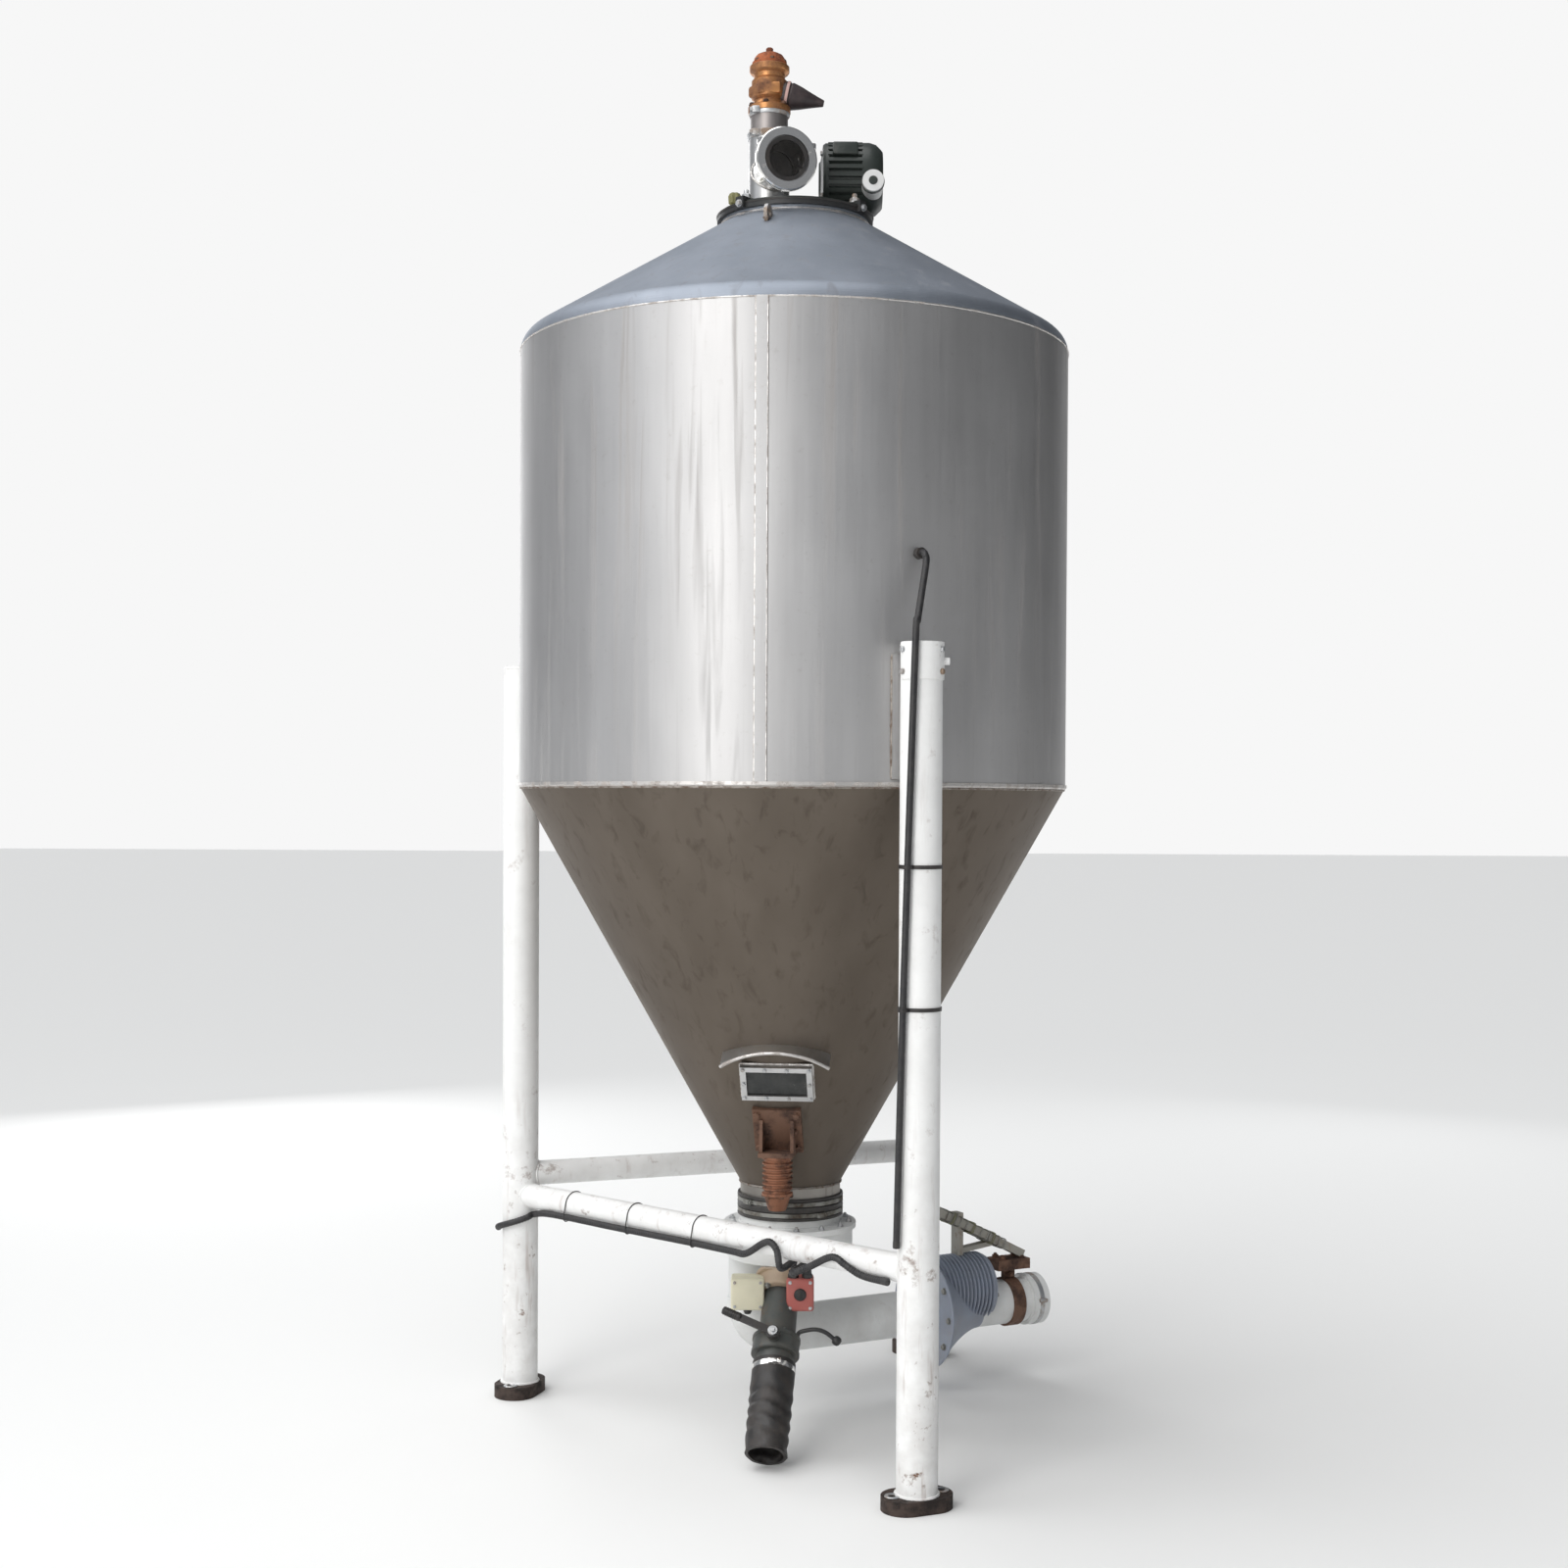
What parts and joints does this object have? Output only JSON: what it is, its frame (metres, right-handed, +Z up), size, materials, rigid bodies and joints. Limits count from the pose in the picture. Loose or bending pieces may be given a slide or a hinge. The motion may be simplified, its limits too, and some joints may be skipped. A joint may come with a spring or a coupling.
{
  "type": "powder silo",
  "caption": "Small upright powder silo on tube legs, with a filling head, a hopper window, a conveying line with its blower and a bagging spout with a lever valve.",
  "frame": {"origin": "on the floor, at the centre of the plan, under the tank", "axes": "+Z up along the tank's axis; the front looks along -Y, with the conveying line leaving to the right (+X) and back (+Y)"},
  "size_m": [1.4073, 1.3925, 3.261],
  "materials": {
    "shell_cylinder": "dull brushed sheet with streaks",
    "roof_cone": "dull brushed sheet with streaks",
    "hopper_cone": "dull brushed sheet with streaks",
    "hopper_ring": "dull brushed sheet with streaks",
    "shell_seam": "dull brushed sheet with streaks",
    "roof_eye": "dull brushed sheet with streaks",
    "roof_collar": "dull brushed sheet with streaks",
    "manway_flange": "black paint",
    "manway_lid": "dark paint",
    "lid_clamps": "black paint",
    "lid_knobs": "olive plastic",
    "inlet_tee": "polished",
    "fill_pipe": "polished",
    "vent_pipe": "dull",
    "relief_valve": "tarnished",
    "relief_bonnet": "rusted",
    "relief_horn": "black",
    "head_motor": "dark green paint",
    "motor_cap": "white",
    "leg_front": "white paint, weathered",
    "leg_left": "white paint, weathered",
    "leg_back": "white paint, weathered",
    "front_leg_sleeve": "white paint, weathered",
    "leg_saddles": "dull grey paint",
    "foot_plates": "dark, rusted",
    "brace_front": "white paint, weathered",
    "brace_back": "white paint, weathered",
    "brace_side": "white paint, weathered",
    "window_frame": "bright",
    "window_glass": "dark glass",
    "window_hood": "bright",
    "vibrator_bracket": "rusted",
    "vibrator": "tarnished",
    "outlet_neck": "dull brushed sheet with streaks",
    "outlet_band": "black paint",
    "outlet_box": "white paint",
    "conveying_line": "white paint",
    "blower": "blue-grey paint",
    "blower_bracket": "worn grey paint",
    "line_hanger": "brown paint",
    "spout_pipe": "dark green paint",
    "spout_valve": "tan paint",
    "control_box": "cream paint",
    "valve_drive": "faded red paint",
    "gate_body": "dark green paint",
    "gate_stem": "worn",
    "gate_lever": "black paint",
    "spout_sock": "black rubber",
    "purge_rod": "black paint",
    "leg_cable": "black rubber",
    "brace_hoses": "black rubber",
    "cable_fixings": "black plastic"
  },
  "bodies": {
    "silo": {"shell_cylinder": "shell_cylinder", "roof_cone": "roof_cone", "hopper_cone": "hopper_cone", "hopper_ring": "hopper_ring", "shell_seam": "shell_seam", "roof_eye": "roof_eye", "roof_collar": "roof_collar", "manway_flange": "manway_flange", "manway_lid": "manway_lid", "lid_clamps": "lid_clamps", "lid_knobs": "lid_knobs", "inlet_tee": "inlet_tee", "fill_pipe": "fill_pipe", "vent_pipe": "vent_pipe", "relief_valve": "relief_valve", "relief_bonnet": "relief_bonnet", "relief_horn": "relief_horn", "head_motor": "head_motor", "motor_cap": "motor_cap", "leg_front": "leg_front", "leg_left": "leg_left", "leg_back": "leg_back", "front_leg_sleeve": "front_leg_sleeve", "leg_saddles": "leg_saddles", "foot_plates": "foot_plates", "brace_front": "brace_front", "brace_back": "brace_back", "brace_side": "brace_side", "window_frame": "window_frame", "window_glass": "window_glass", "window_hood": "window_hood", "vibrator_bracket": "vibrator_bracket", "vibrator": "vibrator", "outlet_neck": "outlet_neck", "outlet_band": "outlet_band", "outlet_box": "outlet_box", "conveying_line": "conveying_line", "blower": "blower", "blower_bracket": "blower_bracket", "line_hanger": "line_hanger", "spout_pipe": "spout_pipe", "spout_valve": "spout_valve", "control_box": "control_box", "valve_drive": "valve_drive", "gate_body": "gate_body", "gate_stem": "gate_stem", "spout_sock": "spout_sock", "purge_rod": "purge_rod", "leg_cable": "leg_cable", "brace_hoses": "brace_hoses", "cable_fixings": "cable_fixings"},
    "gate_lever": {"gate_lever": "gate_lever"}
  },
  "joints": [
    {"name": "gate_hinge", "type": "hinge", "parent": "silo", "child": "gate_lever", "pos_m": [-0.00429, -0.27374, 0.27868], "axis": [-0.0897, -0.7456, 0.6603], "range_deg": [0, 90]}
  ]
}
